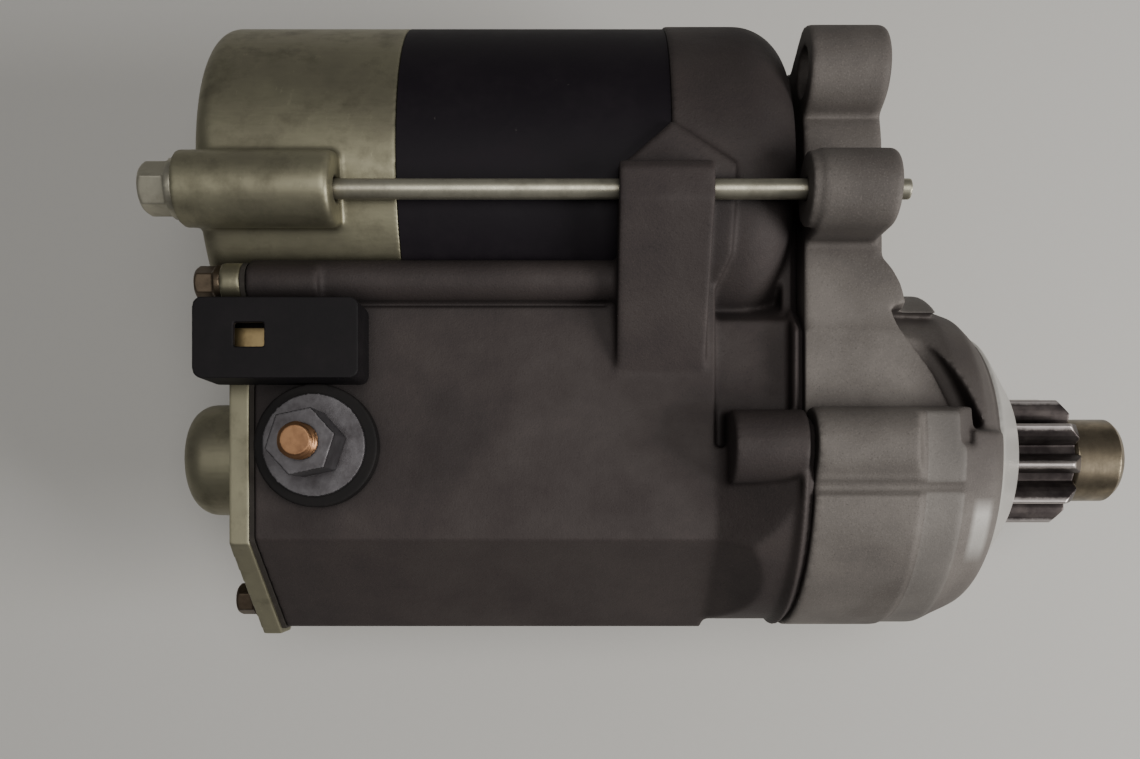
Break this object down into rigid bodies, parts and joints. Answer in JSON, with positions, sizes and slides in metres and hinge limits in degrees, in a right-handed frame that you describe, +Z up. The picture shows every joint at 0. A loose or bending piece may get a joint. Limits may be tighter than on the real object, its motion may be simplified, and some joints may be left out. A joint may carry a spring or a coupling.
{
  "type": "starter motor",
  "caption": "Gear-reduction vehicle starter motor: motor and switch side by side, geared clutch, sliding pinion and mounting ears.",
  "frame": {"origin": "on the pinion axis, in the plane of the ears' mounting face", "axes": "+X along the pinion shaft towards the flywheel, +Y from the switch side to the motor, +Z up as the part lies on its side"},
  "size_m": [0.233, 0.1502, 0.1005],
  "materials": {
    "cast_aluminium_light": "sand-cast, grey",
    "cast_aluminium_dark": "cast, darkened by use",
    "zinc_plate": "zinc plated, olive tint",
    "black_paint": "satin black",
    "pinion_steel": "dark oiled steel",
    "bright_steel": "turned bright",
    "collar_steel": "yellow-brown oxidised",
    "nut_steel": "plated, dulled",
    "screw_steel": "brown, dulled",
    "inner_steel": "ground",
    "iron": "bare iron",
    "copper": "bare copper",
    "winding_wire": "enamelled copper",
    "brass": "bare brass",
    "phenolic": "moulded insulator",
    "black_plastic": "glass-filled plastic",
    "rubber": "rubber",
    "gasket_fibre": "gasket",
    "carbon": "carbon brush"
  },
  "bodies": {
    "root": {"drive_housing": "cast_aluminium_light", "switch_housing": "cast_aluminium_dark", "switch_end_cover": "zinc_plate", "switch_cover_gasket": "gasket_fibre", "switch_cover_screws": "screw_steel", "housing_screws": "zinc_plate", "yoke": "black_paint", "yoke_o_ring": "rubber", "pole_shoes": "iron", "field_coils": "winding_wire", "motor_end_cover": "zinc_plate", "through_bolts": "zinc_plate", "brush_holder": "inner_steel", "brushes": "carbon", "brush_springs": "inner_steel", "idler_pin": "inner_steel", "nose_collar": "bright_steel", "nose_seal": "rubber", "solenoid_bobbin": "phenolic", "solenoid_coil": "winding_wire", "plunger_guide_tube": "brass", "solenoid_core": "inner_steel", "terminal_b_stud": "copper", "terminal_c_stud": "copper", "terminal_insulators": "phenolic", "terminal_washers": "nut_steel", "terminal_nuts": "nut_steel", "connector_body": "black_plastic", "spade_terminal": "brass", "armature_front_bearing_outer": "inner_steel", "armature_front_bearing_balls": "inner_steel", "armature_rear_bearing_outer": "inner_steel", "armature_rear_bearing_balls": "inner_steel", "clutch_front_bearing_outer": "inner_steel", "clutch_front_bearing_balls": "inner_steel", "clutch_rear_bearing_outer": "inner_steel", "clutch_rear_bearing_balls": "inner_steel"},
    "armature": {"armature_shaft": "inner_steel", "armature_core": "iron", "armature_windings": "winding_wire", "commutator": "copper", "armature_front_bearing_inner": "inner_steel", "armature_rear_bearing_inner": "inner_steel"},
    "idler": {"idler_gear": "inner_steel", "idler_rollers": "inner_steel"},
    "clutch_drum": {"clutch_drum": "inner_steel", "clutch_rollers": "inner_steel", "clutch_roller_springs": "inner_steel", "clutch_cover": "inner_steel"},
    "clutch_hub": {"clutch_inner": "inner_steel", "clutch_front_bearing_inner": "inner_steel", "clutch_rear_bearing_inner": "inner_steel", "return_spring": "inner_steel"},
    "pinion": {"pinion_shaft": "inner_steel", "pinion": "pinion_steel", "pinion_stop_collar": "collar_steel"},
    "plunger": {"plunger": "inner_steel", "plunger_rod": "inner_steel", "steel_ball": "inner_steel", "contact_plate": "copper"}
  },
  "joints": [
    {"name": "armature_spin", "type": "hinge", "parent": "root", "child": "armature", "pos_m": [0, 0.06675, 0], "axis": [1, 0, 0], "continuous": true},
    {"name": "idler_spin", "type": "hinge", "parent": "root", "child": "idler", "pos_m": [0, 0.04275, 0], "axis": [1, 0, 0], "continuous": true},
    {"name": "clutch_spin", "type": "hinge", "parent": "root", "child": "clutch_drum", "pos_m": [0, 0, 0], "axis": [1, 0, 0], "continuous": true},
    {"name": "clutch_overrun", "type": "hinge", "parent": "clutch_drum", "child": "clutch_hub", "pos_m": [0, 0, 0], "axis": [1, 0, 0], "continuous": true},
    {"name": "pinion_slide", "type": "slide", "parent": "clutch_hub", "child": "pinion", "axis": [1, 0, 0], "range_m": [0, 0.015], "stiffness_N_per_m": 1500, "springref_m": -0.012, "deforming": ["return_spring"]},
    {"name": "plunger_slide", "type": "slide", "parent": "root", "child": "plunger", "axis": [1, 0, 0], "range_m": [0, 0.015]}
  ],
  "couplings": [
    {"joint": "idler_spin", "follows": "armature_spin", "ratio": -0.52381},
    {"joint": "clutch_spin", "follows": "armature_spin", "ratio": 0.30556},
    {"joint": "plunger_slide", "follows": "pinion_slide", "ratio": 1}
  ]
}
